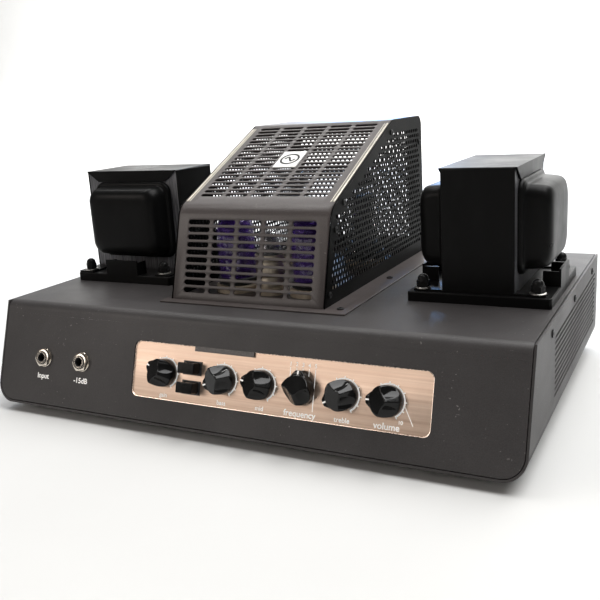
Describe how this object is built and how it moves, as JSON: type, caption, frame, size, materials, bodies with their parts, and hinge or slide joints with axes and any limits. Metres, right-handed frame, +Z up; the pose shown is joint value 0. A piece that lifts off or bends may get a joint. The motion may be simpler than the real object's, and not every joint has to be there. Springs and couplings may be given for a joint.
{
  "type": "guitar amplifier head",
  "caption": "Tube amplifier head: low chassis with leaning front, slotted valve cage with sloping top, two transformers, copper control plate with pointer knobs, rear connectors.",
  "frame": {"origin": "centre of the bounding box, on the plane the feet stand on", "axes": "+X to the right seen from the front, along the longest side; +Y to the back; +Z up; controls face -Y"},
  "size_m": [0.4078, 0.2786, 0.1992],
  "materials": {
    "badge": "satin",
    "black_plastic": "moulded",
    "black_screw": "black oxide",
    "board": "solder mask",
    "cage_coat": "satin powder coat",
    "cage_side_coat": "satin powder coat",
    "capacitor": "shrink sleeve",
    "ceramic": "glazed ceramic",
    "chassis_coat": "fine textured powder coat",
    "clear_glass": "clear glass",
    "coil": "taped winding",
    "copper_plate": "brushed lengthways",
    "electrode": "dark sheet metal",
    "knob_black": "polished moulding",
    "lamination": "varnished steel stack",
    "nickel": "bright nickel",
    "rubber": "matte",
    "shield_can": "dull plated",
    "smoked_strip": "smoked, semi-gloss",
    "steel": "zinc plated",
    "transformer_black": "satin enamel",
    "valve_glass": "tinted glass",
    "wire": "insulated leads"
  },
  "bodies": {
    "amplifier": {"balanced_output": "nickel", "cage_badge": "badge", "cage_base_plate": "cage_coat", "cage_left_side": "cage_side_coat", "cage_right_side": "cage_side_coat", "cage_screws": "black_screw", "cage_shell": "cage_coat", "chassis_wrap": "chassis_coat", "control_board": "board", "control_nuts": "nickel", "control_plate": "copper_plate", "cover_screws": "black_screw", "driver_valve_glass": "valve_glass", "filter_capacitors": "capacitor", "foot_screws": "steel", "front_top_cover": "chassis_coat", "indicator_window": "smoked_strip", "jack_bodies": "black_plastic", "jack_nuts": "nickel", "main_board": "board", "mains_inlet": "black_plastic", "output_transformer_bells": "transformer_black", "output_transformer_coil": "coil", "output_transformer_core": "lamination", "output_transformer_frame": "transformer_black", "paddle_housings": "black_plastic", "potentiometers": "steel", "power_transformer_bells": "transformer_black", "power_transformer_coil": "coil", "power_transformer_core": "lamination", "power_transformer_frame": "transformer_black", "power_valve_glass": "clear_glass", "preamp_valve_glass": "clear_glass", "rear_panel": "chassis_coat", "rocker_frames": "black_plastic", "rubber_feet": "rubber", "selector_body": "steel", "transformer_studs": "transformer_black", "transformer_trays": "transformer_black", "valve_bases": "black_plastic", "valve_electrodes": "electrode", "valve_shield": "shield_can", "valve_sockets": "ceramic", "wiring_loom": "wire"},
    "gain_control": {"gain_knob": "knob_black", "gain_shaft": "steel"},
    "bass_control": {"bass_knob": "knob_black", "bass_shaft": "steel"},
    "middle_control": {"middle_knob": "knob_black", "middle_shaft": "steel"},
    "frequency_control": {"frequency_knob": "knob_black", "frequency_shaft": "steel"},
    "treble_control": {"treble_knob": "knob_black", "treble_shaft": "steel"},
    "volume_control": {"volume_knob": "knob_black", "volume_shaft": "steel"},
    "upper_paddle_lever": {"upper_paddle": "knob_black"},
    "lower_paddle_lever": {"lower_paddle": "knob_black"},
    "power_switch": {"power_rocker": "black_plastic"},
    "standby_switch": {"standby_rocker": "black_plastic"}
  },
  "joints": [
    {"name": "gain_turn", "type": "hinge", "parent": "amplifier", "child": "gain_control", "pos_m": [-0.0466, -0.12704, 0.04212], "axis": [0, -0.9461, 0.3239], "range_deg": [-216, 84]},
    {"name": "bass_turn", "type": "hinge", "parent": "amplifier", "child": "bass_control", "pos_m": [0.0011, -0.12704, 0.04212], "axis": [0, -0.9461, 0.3239], "range_deg": [-262, 38]},
    {"name": "middle_turn", "type": "hinge", "parent": "amplifier", "child": "middle_control", "pos_m": [0.0305, -0.12704, 0.04212], "axis": [0, -0.9461, 0.3239], "range_deg": [-230, 70]},
    {"name": "frequency_turn", "type": "hinge", "parent": "amplifier", "child": "frequency_control", "pos_m": [0.0599, -0.12704, 0.04212], "axis": [0, -0.9461, 0.3239], "range_deg": [-60, 60]},
    {"name": "treble_turn", "type": "hinge", "parent": "amplifier", "child": "treble_control", "pos_m": [0.0893, -0.12704, 0.04212], "axis": [0, -0.9461, 0.3239], "range_deg": [-268, 32]},
    {"name": "volume_turn", "type": "hinge", "parent": "amplifier", "child": "volume_control", "pos_m": [0.1187, -0.12704, 0.04212], "axis": [0, -0.9461, 0.3239], "range_deg": [-240, 60]},
    {"name": "upper_paddle_tilt", "type": "hinge", "parent": "amplifier", "child": "upper_paddle_lever", "pos_m": [-0.0239, -0.11772, 0.04463], "axis": [1, 0, 0], "range_deg": [-8, 8]},
    {"name": "lower_paddle_tilt", "type": "hinge", "parent": "amplifier", "child": "lower_paddle_lever", "pos_m": [-0.0239, -0.12203, 0.03205], "axis": [1, 0, 0], "range_deg": [-8, 8]},
    {"name": "power_rocker_tilt", "type": "hinge", "parent": "amplifier", "child": "power_switch", "pos_m": [0.112, 0.13127, 0.044], "axis": [1, 0, 0], "range_deg": [0, 16]},
    {"name": "standby_rocker_tilt", "type": "hinge", "parent": "amplifier", "child": "standby_switch", "pos_m": [0.084, 0.13127, 0.044], "axis": [1, 0, 0], "range_deg": [0, 16]}
  ]
}
